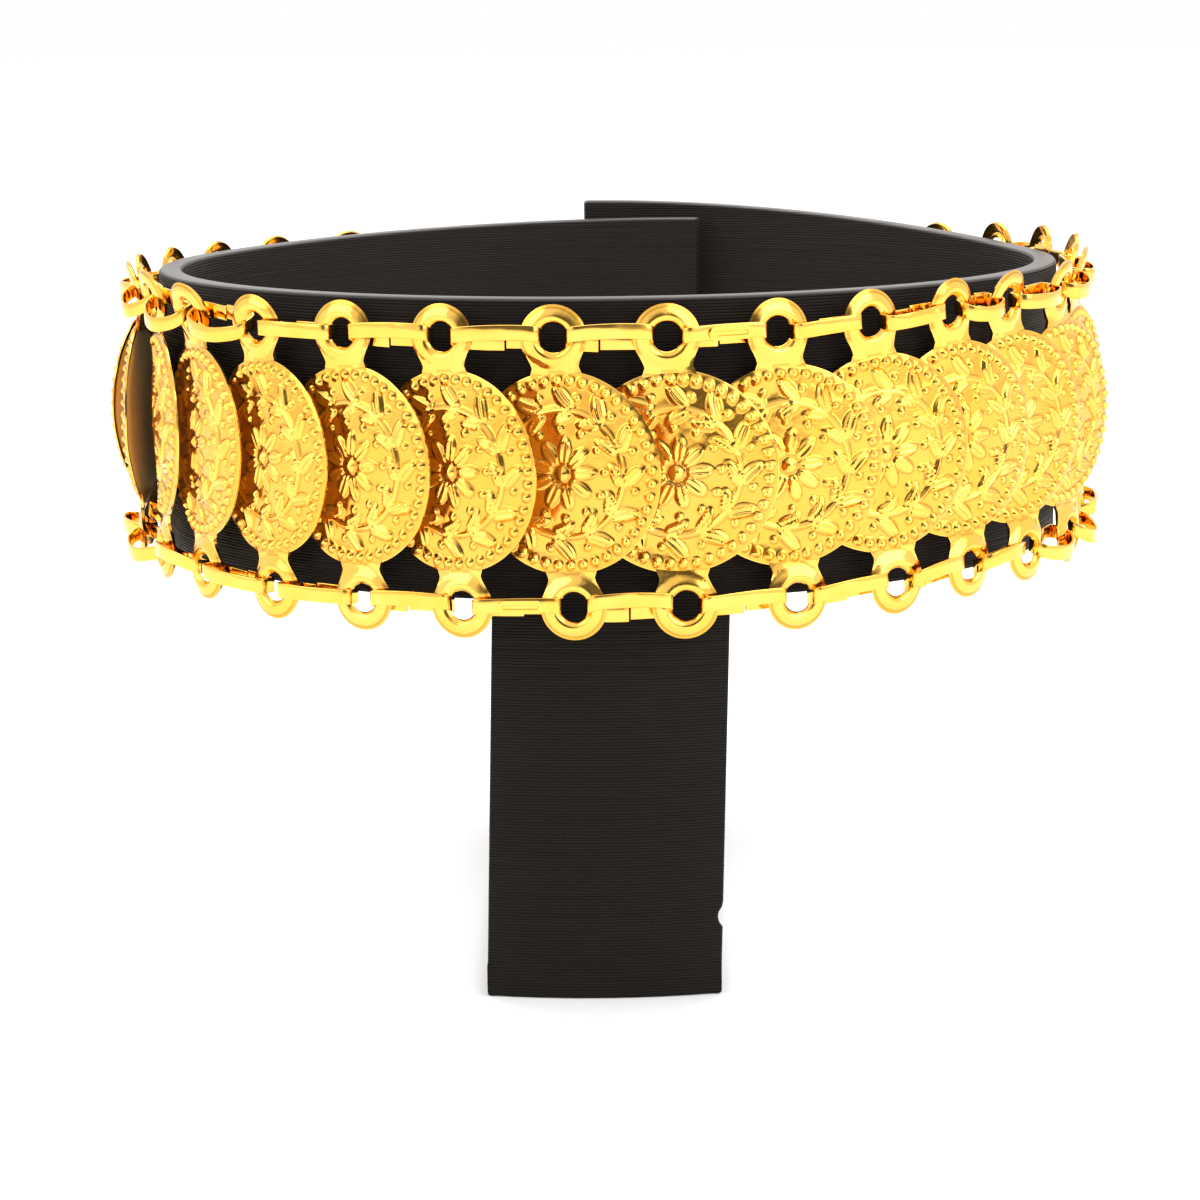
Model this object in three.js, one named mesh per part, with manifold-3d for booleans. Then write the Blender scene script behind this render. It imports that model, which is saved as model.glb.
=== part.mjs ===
// Coin belt of bracelet size, closed round the curved band of a small display stand.
// Millimetres, +Z up, front towards -Y. The origin is on the underside of the stand's foot.
import * as THREE from 'three';
import { mergeVertices } from 'three/addons/utils/BufferGeometryUtils.js';
import Module from 'manifold-3d';

const wasm = await Module();
wasm.setup();

const DEGREE = Math.PI / 180;
const WELD = 1e-4;                 // points nearer than this are one point

// The belt as a chain: coins at equal steps along a circle, at the height of their centres
const COIN_COUNT = 29;
const BELT_RADIUS = 34.3;
const BELT_CENTRE_Y = 1.2;
const BELT_LEVEL = 35.5;
const BACK_SLACK = 0.6;            // the chain stands further out behind the stand's lapped ends
const BACK_SLACK_FROM = 100 * DEGREE;
const BACK_SLACK_FULL = 135 * DEGREE;
const FRONT_COIN = 15;
const FRONT_COIN_OFFSET = -3.05;   // along the chain, from the front centre line

// One coin with its two eyes
const COIN_RADIUS = 6.6;
const COIN_DOME = 0.5;
const DOME_RING_RADIUS = 3.4;      // the dome's one ring of corners between middle and edge
const SHEET = 0.3;
const EYE_DISTANCE = 8.72;         // from the coin's centre to the centre of an eye's hole
const EYE_RADIUS = 1.95;
const EYE_HOLE_RADIUS = 1.2;
const NECK_HALF_WIDTH = 1.55;
const NECK_HEIGHT = 7.05;
const NECK_ROOT_HALF_WIDTH = 2.1;
const NECK_ROOT_HEIGHT = 6.1;
const COIN_SIDES = 18;
const EYE_SIDES = 5;
const HOLE_SIDES = 10;
const MERGE = 0.02;                // faces nearer than this to flat are joined

// One link: a flat strip bent to a loop through two neighbouring eyes
const STRIP = 0.2;
const STRIP_HEIGHT = 0.85;
const LINK_DEPTH = 1.5;
const LINK_PLAY = 0.36;
const LINK_CORNER = 0.45;
const LINK_TILT = 12 * DEGREE;     // the inner leg hangs lower than the outer leg
const HOOK_MOUTH = 1.2;
const HOOK_LIP = 0.9;

// Links in front of and beside the stand are loose; those behind it are closed tight on a coin
const FIRST_LOOSE_LINK = 8;
const LAST_LOOSE_LINK = 21;

// Display stand: a band with lapped ends, one leg under its front and a flat foot behind the leg
const BAND_RADIUS = 32.7;          // outer face
const BAND_CENTRE_Y = 1.1;
const BAND_WALL = 1.7;
const BAND_BOTTOM = 26.8;
const BAND_TOP = 46.5;
const BAND_STEPS = 56;
const INNER_END_X = 7.5;
const INNER_END_SHRINK = 1.8;
const OUTER_END_X = -1.2;
const OUTER_END_GROWTH = 0.6;
const OUTER_END_LIFT = 1.6;
const LAP_BEGINS = 60 * DEGREE;    // before each end, where the radius starts to change
const LIFT_BEGINS = 85 * DEGREE;
const LEG_WIDTH = 15.9;
const LEG_LEAN = 1.6 * DEGREE;
const LEG_STEPS = 4;
const FOOT_THICKNESS = 2.4;
const FOOT_WIDTH = 15.6;
const FOOT_BACK_Y = 20;
const FOOT_CORNER = 4;
const SEAT = 0.4;                  // how far the leg runs into the band

// How far each coin's height departs from the belt's level, by angle round the belt
const RISES = [
  { angle: -180, up: 0.4 },
  { angle: -140, up: 0.6 },
  { angle: -80, up: 0.9 },
  { angle: -35, up: -0.05 },
  { angle: 10, up: -0.1 },
  { angle: 56, up: 0.8 },
  { angle: 105, up: 1.7 },
  { angle: 150, up: 0.7 },
  { angle: 180, up: 0.4 },
];

// How loosely each front coin hangs: moved along the chain, moved out, swung open at its
// right edge and leaning to the left at its top
const USUAL_HANG = { along: 0, out: 0, swing: 11, lean: 4.5 };
const HANGS = [
  { coin: 10, along: -0.4, out: -0.25, swing: 8, lean: 4.5 },
  { coin: 11, along: -0.45, out: -0.25, swing: 5.5, lean: 4.2 },
  { coin: 12, along: 0.1, out: -0.2, swing: 5.5, lean: 4.5 },
  { coin: 13, along: 0.25, out: -0.25, swing: 6.5, lean: 4.3 },
  { coin: 14, along: 0.2, out: 0.1, swing: 13, lean: 4.1 },
  { coin: 15, along: 0.1, out: 0, swing: 11.5, lean: 3.8 },
  { coin: 16, along: -0.1, out: 0.05, swing: 9, lean: 3.6 },
  { coin: 17, along: 0, out: -0.2, swing: 3, lean: 4.3 },
  { coin: 18, along: -0.2, out: -0.2, swing: 5.5, lean: 6.8 },
  { coin: 19, along: -0.7, out: -0.25, swing: 6, lean: 6.1 },
  { coin: 20, along: -1.6, out: -0.15, swing: 11, lean: 8 },
  { coin: 21, along: -1.25, out: 0.2, swing: 11.5, lean: 7 },
  { coin: 22, along: -0.6, out: 0, swing: 11, lean: 6 },
];

const gold = new THREE.MeshStandardMaterial({ color: 0xe8b23a, metalness: 1, roughness: 0.25 });
const blackPlastic = new THREE.MeshStandardMaterial({ color: 0x1b1816, metalness: 0, roughness: 0.6 });

// Closed solids and their meshes

function solidOf(geometry) {
  const bare = geometry.clone();
  bare.deleteAttribute('normal');
  bare.deleteAttribute('uv');
  const merged = mergeVertices(bare, WELD);
  return new wasm.Manifold(new wasm.Mesh({
    numProp: 3,
    vertProperties: new Float32Array(merged.attributes.position.array),
    triVerts: new Uint32Array(merged.index.array),
  }));
}

function geometryOf(solid) {
  const mesh = solid.getMesh();
  const geometry = new THREE.BufferGeometry();
  geometry.setAttribute('position', new THREE.BufferAttribute(new Float32Array(mesh.vertProperties), 3));
  geometry.setIndex(new THREE.BufferAttribute(new Uint32Array(mesh.triVerts), 1));
  geometry.computeVertexNormals();
  return geometry;
}

function extruded(shape, depth, curveSegments) {
  return new THREE.ExtrudeGeometry(shape, { depth, bevelEnabled: false, curveSegments });
}

// Belt path

function smoothStep(value, from, to) {
  const share = THREE.MathUtils.clamp((value - from) / (to - from), 0, 1);
  return share * share * (3 - 2 * share);
}

function riseAt(angle) {
  const degrees = angle / DEGREE;
  const next = RISES.findIndex((row) => row.angle >= degrees);
  const after = RISES[Math.max(next, 1)];
  const before = RISES[Math.max(next, 1) - 1];
  return THREE.MathUtils.lerp(before.up, after.up, smoothStep(degrees, before.angle, after.angle));
}

function hangOf(coin) {
  return HANGS.find((row) => row.coin === coin) ?? USUAL_HANG;
}

// Where a coin's centre lies, and its own right, up and outward directions
function coinFrame(coin) {
  const hang = hangOf(coin);
  const step = (2 * Math.PI * BELT_RADIUS) / COIN_COUNT;
  const along = FRONT_COIN_OFFSET + (coin - FRONT_COIN) * step + hang.along;
  const angle = THREE.MathUtils.euclideanModulo(along / BELT_RADIUS + Math.PI, 2 * Math.PI) - Math.PI;
  const slack = BACK_SLACK * smoothStep(Math.abs(angle), BACK_SLACK_FROM, BACK_SLACK_FULL);
  const radius = BELT_RADIUS + hang.out + slack;
  const centre = new THREE.Vector3(
    radius * Math.sin(angle),
    BELT_CENTRE_Y - radius * Math.cos(angle),
    BELT_LEVEL + riseAt(angle),
  );
  const turned = angle - hang.swing * DEGREE;
  const across = new THREE.Vector3(Math.cos(turned), Math.sin(turned), 0);
  const out = new THREE.Vector3(Math.sin(turned), -Math.cos(turned), 0);
  const lean = hang.lean * DEGREE;
  const up = new THREE.Vector3(0, 0, Math.cos(lean)).addScaledVector(across, -Math.sin(lean));
  const right = across.clone().multiplyScalar(Math.cos(lean)).add(new THREE.Vector3(0, 0, Math.sin(lean)));
  return { centre, across, right, up, out };
}

// Coin: a domed disc with an eye above and an eye below, in its own plane, +Z outwards

function discSolid() {
  const domeAt = (radius) => COIN_DOME * (1 - (radius / COIN_RADIUS) ** 2);
  const half = SHEET / 2;
  const profile = [
    new THREE.Vector2(0, domeAt(0) - half),
    new THREE.Vector2(DOME_RING_RADIUS, domeAt(DOME_RING_RADIUS) - half),
    new THREE.Vector2(COIN_RADIUS, -half),
    new THREE.Vector2(COIN_RADIUS, half),
    new THREE.Vector2(DOME_RING_RADIUS, domeAt(DOME_RING_RADIUS) + half),
    new THREE.Vector2(0, domeAt(0) + half),
  ];
  return solidOf(new THREE.LatheGeometry(profile, COIN_SIDES).rotateX(Math.PI / 2));
}

function eyeSolid() {
  const neckAngle = Math.atan2(NECK_HEIGHT - EYE_DISTANCE, NECK_HALF_WIDTH);
  const plate = new THREE.Shape();
  plate.moveTo(-NECK_ROOT_HALF_WIDTH, NECK_ROOT_HEIGHT);
  plate.lineTo(NECK_ROOT_HALF_WIDTH, NECK_ROOT_HEIGHT);
  plate.lineTo(NECK_HALF_WIDTH, NECK_HEIGHT);
  plate.absarc(0, EYE_DISTANCE, EYE_RADIUS, neckAngle, Math.PI - neckAngle, false);
  plate.lineTo(-NECK_HALF_WIDTH, NECK_HEIGHT);
  plate.closePath();
  const body = solidOf(extruded(plate, SHEET, EYE_SIDES).translate(0, 0, -SHEET / 2));
  const corner = EYE_HOLE_RADIUS / Math.cos(Math.PI / HOLE_SIDES);
  const bore = new THREE.CylinderGeometry(corner, corner, 4 * SHEET, HOLE_SIDES);
  return body.subtract(solidOf(bore.rotateX(Math.PI / 2).translate(0, EYE_DISTANCE, 0)));
}

function coinSolid() {
  const eye = eyeSolid();
  return discSolid().add(eye).add(eye.rotate([0, 0, 180])).simplify(MERGE);
}

// Link: the strip's loop lies in its own XY plane, +X along the chain and -Y outwards

function loopPath(path, length, depth, corner) {
  const end = length / 2;
  const side = depth / 2;
  path.moveTo(corner - end, -side);
  path.lineTo(end - corner, -side);
  path.lineTo(end, corner - side);
  path.lineTo(end, side - corner);
  path.lineTo(end - corner, side);
  path.lineTo(corner - end, side);
  path.lineTo(-end, side - corner);
  path.lineTo(-end, corner - side);
  path.closePath();
  return path;
}

function linkGeometry(length) {
  const shape = loopPath(new THREE.Shape(), length, LINK_DEPTH, LINK_CORNER);
  const innerCorner = LINK_CORNER - STRIP * (2 - Math.SQRT2);
  shape.holes.push(loopPath(new THREE.Path(), length - 2 * STRIP, LINK_DEPTH - 2 * STRIP, innerCorner));
  return extruded(shape, STRIP_HEIGHT, 1).translate(0, 0, -STRIP_HEIGHT / 2);
}

// The same loop with a mouth in its inner leg, so that the belt opens there
function hookGeometry(length) {
  const mouth = new THREE.BoxGeometry(HOOK_MOUTH, LINK_DEPTH, 2 * STRIP_HEIGHT);
  mouth.translate(length / 2 - LINK_DEPTH / 2 - HOOK_LIP, LINK_DEPTH / 2, 0);
  return geometryOf(solidOf(linkGeometry(length)).subtract(solidOf(mouth)));
}

// Where a link lies between two coins: side is 1 for the upper eyes and -1 for the lower ones.
// A tight link is drawn back until its end closes on the first coin's eye.
function linkFrame(first, second, side, tight) {
  const web = (EYE_RADIUS + EYE_HOLE_RADIUS) / 2;
  const webHalf = (EYE_RADIUS - EYE_HOLE_RADIUS) / 2;
  const from = coinFrame(first);
  const to = coinFrame(second);
  const start = from.centre.clone().addScaledVector(from.up, side * EYE_DISTANCE);
  start.addScaledVector(from.across, web);
  const end = to.centre.clone().addScaledVector(to.up, side * EYE_DISTANCE);
  end.addScaledVector(to.across, -web);
  const along = end.clone().sub(start);
  const spread = along.length();
  along.normalize();
  const outward = from.out.clone().add(to.out);
  outward.addScaledVector(along, -outward.dot(along)).normalize();
  const upward = new THREE.Vector3().crossVectors(outward, along);
  outward.multiplyScalar(Math.cos(LINK_TILT)).addScaledVector(upward, Math.sin(LINK_TILT));
  upward.crossVectors(outward, along);
  const loose = webHalf + LINK_PLAY + STRIP;
  const startReach = tight ? webHalf + STRIP / 2 : loose;
  const length = spread + startReach + loose;
  const centre = start.clone().addScaledVector(along, length / 2 - startReach);
  return { centre, along, inward: outward.negate(), upward, length };
}

function placed(mesh, centre, xAxis, yAxis, zAxis) {
  mesh.position.copy(centre);
  mesh.quaternion.setFromRotationMatrix(new THREE.Matrix4().makeBasis(xAxis, yAxis, zAxis));
  mesh.updateMatrix();
  return mesh;
}

function linkMesh(first, second, side, tight, shapeOf) {
  const frame = linkFrame(first, second, side, tight);
  const mesh = new THREE.Mesh(shapeOf(frame.length), gold);
  return placed(mesh, frame.centre, frame.along, frame.inward, frame.upward);
}

// Stand

function bandRadiusAt(angle, innerEnd, outerEnd) {
  const shrink = INNER_END_SHRINK * (1 - smoothStep(angle, innerEnd, innerEnd + LAP_BEGINS));
  const growth = OUTER_END_GROWTH * smoothStep(angle, outerEnd - LAP_BEGINS, outerEnd);
  return BAND_RADIUS - shrink + growth;
}

// The band runs from its inner end, behind and to the right, round the left and the front
// to its outer end, behind and just to the left, as seen from the front
function bandSolid() {
  const innerEnd = -Math.PI - Math.asin(INNER_END_X / (BAND_RADIUS - INNER_END_SHRINK));
  const outerEnd = Math.PI - Math.asin(OUTER_END_X / (BAND_RADIUS + OUTER_END_GROWTH));
  const outerFace = [];
  const innerFace = [];
  for (let step = 0; step <= BAND_STEPS; step += 1) {
    const angle = THREE.MathUtils.lerp(innerEnd, outerEnd, step / BAND_STEPS);
    const radius = bandRadiusAt(angle, innerEnd, outerEnd);
    const ray = new THREE.Vector2(Math.sin(angle), -Math.cos(angle));
    const hub = new THREE.Vector2(0, BAND_CENTRE_Y);
    outerFace.push(ray.clone().multiplyScalar(radius).add(hub));
    innerFace.push(ray.clone().multiplyScalar(radius - BAND_WALL).add(hub));
  }
  const outline = new THREE.Shape([...outerFace, ...innerFace.reverse()]);
  const geometry = extruded(outline, BAND_TOP - BAND_BOTTOM, 1).translate(0, 0, BAND_BOTTOM);
  liftOuterEnd(geometry, innerEnd, outerEnd);
  return solidOf(geometry);
}

// Near the outer end the band's top edge climbs; the inner end, inside it, keeps its level
function liftOuterEnd(geometry, innerEnd, outerEnd) {
  const points = geometry.attributes.position;
  const lapBegins = innerEnd + 2 * Math.PI - DEGREE;
  const lapRadius = BAND_RADIUS + (OUTER_END_GROWTH - BAND_WALL - INNER_END_SHRINK) / 2;
  const middleLevel = (BAND_BOTTOM + BAND_TOP) / 2;
  for (let index = 0; index < points.count; index += 1) {
    const x = points.getX(index);
    const y = points.getY(index) - BAND_CENTRE_Y;
    const angle = Math.atan2(x, -y);
    const turned = angle < -Math.PI / 2 ? angle + 2 * Math.PI : angle;
    const onOuterEnd = turned < lapBegins || Math.hypot(x, y) > lapRadius;
    const onTop = points.getZ(index) > middleLevel;
    if (onTop && onOuterEnd && turned <= outerEnd + DEGREE) {
      const climb = OUTER_END_LIFT * smoothStep(turned, outerEnd - LIFT_BEGINS, outerEnd);
      points.setZ(index, points.getZ(index) + climb);
    }
  }
}

// The leg is a strip of the band's own curve, leaning a little to the left at its foot
function legSolid() {
  const halfAngle = Math.asin(LEG_WIDTH / 2 / BAND_RADIUS);
  const front = -Math.PI / 2;
  const outline = new THREE.Shape();
  outline.absarc(0, BAND_CENTRE_Y, BAND_RADIUS, front - halfAngle, front + halfAngle, false);
  outline.absarc(0, BAND_CENTRE_Y, BAND_RADIUS - BAND_WALL, front + halfAngle, front - halfAngle, true);
  outline.closePath();
  const geometry = extruded(outline, BAND_BOTTOM + SEAT, LEG_STEPS);
  const points = geometry.attributes.position;
  for (let index = 0; index < points.count; index += 1) {
    const below = BAND_BOTTOM + SEAT - points.getZ(index);
    points.setX(index, points.getX(index) - below * Math.tan(LEG_LEAN));
  }
  return solidOf(geometry);
}

function footSolid() {
  const centreX = -(BAND_BOTTOM + SEAT - FOOT_THICKNESS / 2) * Math.tan(LEG_LEAN);
  const left = centreX - FOOT_WIDTH / 2;
  const right = centreX + FOOT_WIDTH / 2;
  const frontY = BAND_CENTRE_Y - BAND_RADIUS + BAND_WALL;
  const outline = new THREE.Shape();
  outline.moveTo(left, frontY);
  outline.lineTo(right, frontY);
  outline.lineTo(right, FOOT_BACK_Y - FOOT_CORNER);
  outline.absarc(right - FOOT_CORNER, FOOT_BACK_Y - FOOT_CORNER, FOOT_CORNER, 0, Math.PI / 2, false);
  outline.absarc(left + FOOT_CORNER, FOOT_BACK_Y - FOOT_CORNER, FOOT_CORNER, Math.PI / 2, Math.PI, false);
  outline.closePath();
  return solidOf(extruded(outline, FOOT_THICKNESS, LEG_STEPS));
}

// Assembly

const part = new THREE.Group();
part.name = 'coin_belt_on_stand';

function numbered(stem, number) {
  return `${stem}_${String(number).padStart(2, '0')}`;
}

function isLoose(link) {
  return link >= FIRST_LOOSE_LINK && link <= LAST_LOOSE_LINK;
}

function addCoins(group) {
  const plain = coinSolid();
  for (let coin = 1; coin <= COIN_COUNT; coin += 1) {
    const frame = coinFrame(coin);
    const mesh = new THREE.Mesh(geometryOf(plain), gold);
    placed(mesh, frame.centre, frame.right, frame.up, frame.out);
    if (coin < COIN_COUNT && !isLoose(coin)) {
      mesh.geometry = geometryOf(withTightLinks(plain, mesh, coin));
    }
    mesh.name = numbered('coin', coin);
    group.add(mesh);
  }
}

function withTightLinks(plain, coinMesh, coin) {
  const toCoin = coinMesh.matrix.clone().invert();
  let solid = plain;
  for (const side of [1, -1]) {
    const link = linkMesh(coin, coin + 1, side, true, linkGeometry);
    solid = solid.add(solidOf(link.geometry.applyMatrix4(toCoin.clone().multiply(link.matrix))));
  }
  return solid;
}

function addLinks(group) {
  for (const [row, side] of [['top', 1], ['bottom', -1]]) {
    for (let link = FIRST_LOOSE_LINK; link <= LAST_LOOSE_LINK; link += 1) {
      const mesh = linkMesh(link, link + 1, side, false, linkGeometry);
      mesh.name = numbered(`${row}_link`, link);
      group.add(mesh);
    }
    const hook = linkMesh(COIN_COUNT, 1, side, false, hookGeometry);
    hook.name = `${row}_hook`;
    group.add(hook);
  }
}

function addStand(group) {
  const solid = bandSolid().add(legSolid()).add(footSolid());
  const mesh = new THREE.Mesh(geometryOf(solid), blackPlastic);
  mesh.name = 'display_stand';
  group.add(mesh);
}

addCoins(part);
addLinks(part);
addStand(part);

export default part;
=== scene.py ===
# Coin belt of bracelet size, closed round the curved band of a small display stand.
# Pieces are modelled in millimetres in their own planes and set in place in metres.
import math
import random
from collections import namedtuple
import bmesh
import bpy
from mathutils import Matrix, Vector, noise


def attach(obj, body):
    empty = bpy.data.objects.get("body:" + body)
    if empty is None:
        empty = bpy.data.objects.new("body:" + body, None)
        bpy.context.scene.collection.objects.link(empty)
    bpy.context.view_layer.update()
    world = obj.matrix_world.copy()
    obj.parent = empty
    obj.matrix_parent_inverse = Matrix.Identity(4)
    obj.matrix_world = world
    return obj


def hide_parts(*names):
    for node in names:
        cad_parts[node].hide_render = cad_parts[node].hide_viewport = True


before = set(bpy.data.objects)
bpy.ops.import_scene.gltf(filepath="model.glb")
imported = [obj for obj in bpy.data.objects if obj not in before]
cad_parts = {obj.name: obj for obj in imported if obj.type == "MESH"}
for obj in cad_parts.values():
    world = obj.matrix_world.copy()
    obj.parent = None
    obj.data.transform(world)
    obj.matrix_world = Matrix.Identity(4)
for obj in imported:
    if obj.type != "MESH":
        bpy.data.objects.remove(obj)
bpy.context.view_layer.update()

MM = 0.001
DEGREE = math.pi / 180
NEAR = 0.01                 # places nearer than this are taken as the same

# The belt as a chain: coins at equal steps along a circle
COIN_COUNT = 29
BELT_RADIUS = 34.3
BELT_CENTRE_Y = 1.2
BELT_LEVEL = 35.5
BACK_SLACK = 0.6
BACK_SLACK_FROM = 100 * DEGREE
BACK_SLACK_FULL = 135 * DEGREE
FRONT_COIN = 15
FRONT_COIN_OFFSET = -3.05

# How far each coin's height departs from the belt's level, by angle round the belt in degrees
Rise = namedtuple("Rise", "angle up")
RISES = [
    Rise(-180, 0.4),
    Rise(-140, 0.6),
    Rise(-80, 0.9),
    Rise(-35, -0.05),
    Rise(10, -0.1),
    Rise(56, 0.8),
    Rise(105, 1.7),
    Rise(150, 0.7),
    Rise(180, 0.4),
]

# How loosely each front coin hangs: moved along the chain, moved out, swung open at its right
# edge and leaning to the left at its top
Hang = namedtuple("Hang", "along out swing lean")
USUAL_HANG = Hang(0, 0, 11, 4.5)
HANGS = {
    10: Hang(-0.4, -0.25, 8, 4.5),
    11: Hang(-0.45, -0.25, 5.5, 4.2),
    12: Hang(0.1, -0.2, 5.5, 4.5),
    13: Hang(0.25, -0.25, 6.5, 4.3),
    14: Hang(0.2, 0.1, 13, 4.1),
    15: Hang(0.1, 0, 11.5, 3.8),
    16: Hang(-0.1, 0.05, 9, 3.6),
    17: Hang(0, -0.2, 3, 4.3),
    18: Hang(-0.2, -0.2, 5.5, 6.8),
    19: Hang(-0.7, -0.25, 6, 6.1),
    20: Hang(-1.6, -0.15, 11, 8),
    21: Hang(-1.25, 0.2, 11.5, 7),
    22: Hang(-0.6, 0, 11, 6),
}

# One coin: its sheet, its row of beads and its two eyes
COIN_RADIUS = 6.6
COIN_DOME = 0.5
FIELD_LEVEL = 0.02          # the plain field, over the middle of the sheet
BACK_LEVEL = -0.16
RELIEF = 0.28
BACK_MARK = -1.0            # the relief's value on the plain back
LEFT_SINK = 0.45            # the side that lies under the coin before it is bent in by this
LEFT_SINK_FULL = -3.5
LEFT_SINK_FROM = 2.5
LEFT_SINK_HEIGHT = 4.5      # it fades out towards the necks above this
CURL_FROM = 1.0
USUAL_CURL = 0.3            # the edge that lies over the next coin stands out by this
CURLS = {
    10: -0.3, 11: -0.15, 12: 0.1, 13: 0.35, 14: 0.55, 15: 0.6, 16: 0.35, 17: 0.05, 18: -0.1,
    19: -0.1, 20: 0.3, 21: 0.2}
FACE_CELLS = 110
BACK_CELLS = 22
BEAD_COUNT = 44
BEAD_ROW_RADIUS = 6.0
BEAD_RADIUS = 0.42
BEAD_HEIGHT = 0.28
EDGE_ROLL_FROM = 6.4
EDGE_ROLL = 0.06
EYE_DISTANCE = 8.72
EYE_RADIUS = 2.05
EYE_HOLE_RADIUS = 1.14
EYE_CROWN_RADIUS = 1.34
EYE_CROWN = 0.3
EYE_LIP = 0.75              # the hole's edge lies lower than the crown by this share of it
EYE_SLOPE = 1.3
EYE_STEPS = 64
EYE_RINGS = 8
EYE_SHEET = 0.22
EYE_RAISE = 0.05            # the eyes' crowns stand this much further out than EYE_CROWN
EYE_WELD = 0.001
# painted light and shade on the eyes: their middles are painted as bright as high relief, their outlines
# fade to painted shade
EYE_PAINTED_BRIGHTNESS = 0.9
EYE_PAINTED_SHADE_FROM = 1.6
NECK_NO_PAINTED_SHADE_FROM = 0.6
NECK_NO_PAINTED_SHADE_FULL = 1.6
EYE_TWIST = 0.14            # every eye's right side is turned in, by this share of its width
EYE_TILT = 0.85             # the upper eyes at the belt's sides lean out by this at their tops
TILT_BEGINS = 25 * DEGREE
TILT_FULL = 60 * DEGREE
TILT_FADES = 80 * DEGREE
TILT_GONE = 120 * DEGREE
NECK_HALF_WIDTH = 1.55
NECK_WAIST = 1.95           # below the eye's centre
NECK_FLARE = 2.0
NECK_END = 2.85
OUTLINE_STEP = 0.02         # how finely an eye's outline is followed
WARP = 0.09                 # how unevenly a thin coin lies in its own plane
WARP_SPAN = 4.0
WARP_SHIFT_X = 7.3
WARP_SHIFT_Y = 3.1
FINE_WARP = 0.25            # a second unevenness, of this share of the height
FINE_WARP_STEPS = 4         # and this many times as close

# One link: a flat strip bent to a loop through two neighbouring eyes
WEB_RADIUS = 1.575          # middle of the eye's rim
WEB_HALF = 0.375
STRIP = 0.2
STRIP_HEIGHT = 1.0
STRIP_EDGE = 0.045
LINK_DEPTH = 1.5
LINK_PLAY = 0.17
LINK_CORNER = 0.5
LINK_TILT = -3 * DEGREE
LINK_BOW = 0.14
LEAST_BOW = 0.3             # the straightest link's share of the bow
SIDE_BOW = 0.75             # the links at the belt's sides are rounder
LINK_TWIST = 4 * DEGREE
LINK_ARCH = 0.25
LINK_CUTS = 5
LINK_LEG_LEAST = 0.8        # the loop's level edges longer than this are its legs
FOLD_ANGLE = 1.2            # edges folded more than this are the strip's own edges
LINK_SEED = 11
JOINT_GAP = 0.1
JOINT_STEP = 0.07
JOINT_SHIFT = 0.6           # how far from a link's middle its joint may lie
HOOK_MOUTH = 1.2
HOOK_MOUTH_SHARE = 0.2      # how far from the middle it opens, of the hook's length
FIRST_LOOSE_LINK = 8        # from this link to the last one each is a node of its own
LAST_LOOSE_LINK = 21
LAPPED_IN_FRONT = {("top", 16), ("top", 18), ("bottom", 14)}
LAP_LENGTH = 2.9
LAP_HEIGHT = 0.86
LAP_THICKNESS = 0.16
LAP_CORNER = 0.45           # of the tongue's height
LAP_RIM = 0.27
LAP_HOLLOW = 0.09
LAP_HOLLOW_SLOPE = 0.05
LAP_SHIFT = 0.2
LAP_GAP = 0.03

# How far each loosely bent link's inner leg lies below its outer leg
USUAL_DROP = 0.5
LINK_DROPS = {
    "top": {
        9: -0.7, 10: -0.8, 11: -0.65, 12: 0.15, 13: 0.6, 14: 0.6, 15: 0.75, 16: 0.45, 17: 0.2,
        18: 0.0, 19: -0.3, 20: -0.1, 21: -0.2},
    "bottom": {
        9: -0.6, 10: 0.5, 11: 0.15, 12: 0.1, 13: 0.5, 14: 0.35, 15: 0.9, 16: 0.55, 17: 0.5,
        18: 0.65, 19: 0.5, 20: -0.4, 21: -0.6},
}

# Display stand
BAND_RADIUS = 32.7
BAND_CENTRE_Y = 1.1
BAND_WALL = 1.7
BAND_BOTTOM = 26.8
BAND_TOP = 46.5
BAND_CUTS = 260
INNER_END_X = 7.7
INNER_END_SHRINK = 1.8
OUTER_END_X = -1.9
OUTER_END_GROWTH = 0.6
OUTER_END_LIFT = 2.4
INNER_END_LIFT = 1.1
LAP_BEGINS = 60 * DEGREE
LIFT_BEGINS = 85 * DEGREE
STAND_EDGE = 0.3
LEG_WIDTH = 15.9
LEG_LEAN = 1.6 * DEGREE
LEG_TUCK = 0.03             # the leg's top lies this far inside the band's faces
LEG_SEAT = 6.0
LEG_CUTS_ACROSS = 16
LEG_CUTS_UP = 90
NICK_HEIGHT = 5.3
NICK_SPAN = 0.75
NICK_DEPTH = 0.35
NICK_REACH = 1.5
FOOT_THICKNESS = 2.4
FOOT_WIDTH = 15.6
FOOT_BACK_Y = 20
FOOT_CORNER = 4
LAYER = 0.2                 # height of one printed layer
SHARP_ANGLE = 50 * DEGREE

# The camera, placed as the photograph's: millimetres, pixels of the frame, degrees
CAMERA_Y = -248.5
CAMERA_Z = 65.5
CAMERA_FOCUS_PIXELS = 3391
FRAME_PIXELS = 1200
CAMERA_PITCH = 10.09 * DEGREE
CAMERA_YAW = -0.19 * DEGREE
CAMERA_ROLL = -0.68 * DEGREE
SENSOR = 36.0
NEAREST_SEEN = 0.01         # metres
FARTHEST_SEEN = 20
FLOOR_HALF = 4

# Light, in metres: a brightness of 1 is the white of the background
LIGHT_AIM = (0, 0, 0.035)
Light = namedtuple("Light", "name place width height brightness")
LIGHTS = [
    Light("key_light", (0.5, -0.42, 0.4), 0.6, 0.6, 2.3),
    Light("fill_light", (-0.55, -0.3, 0.35), 0.45, 0.5, 1.5),
    Light("top_light", (0.0, 0.2, 0.7), 0.8, 0.6, 1.7),
]
ROOM_LEVEL = 1.2
DIM_SIDE = (0.03, -0.97, 0.22)
SOFT_FROM = 0.5             # cosines of the angle from the dim side
SOFT_FULL = 0.9
SOFT_LEVEL = 0.78
DIM_FROM = 0.88
DIM_FULL = 0.965
DIM_LEVEL = 0.15

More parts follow.
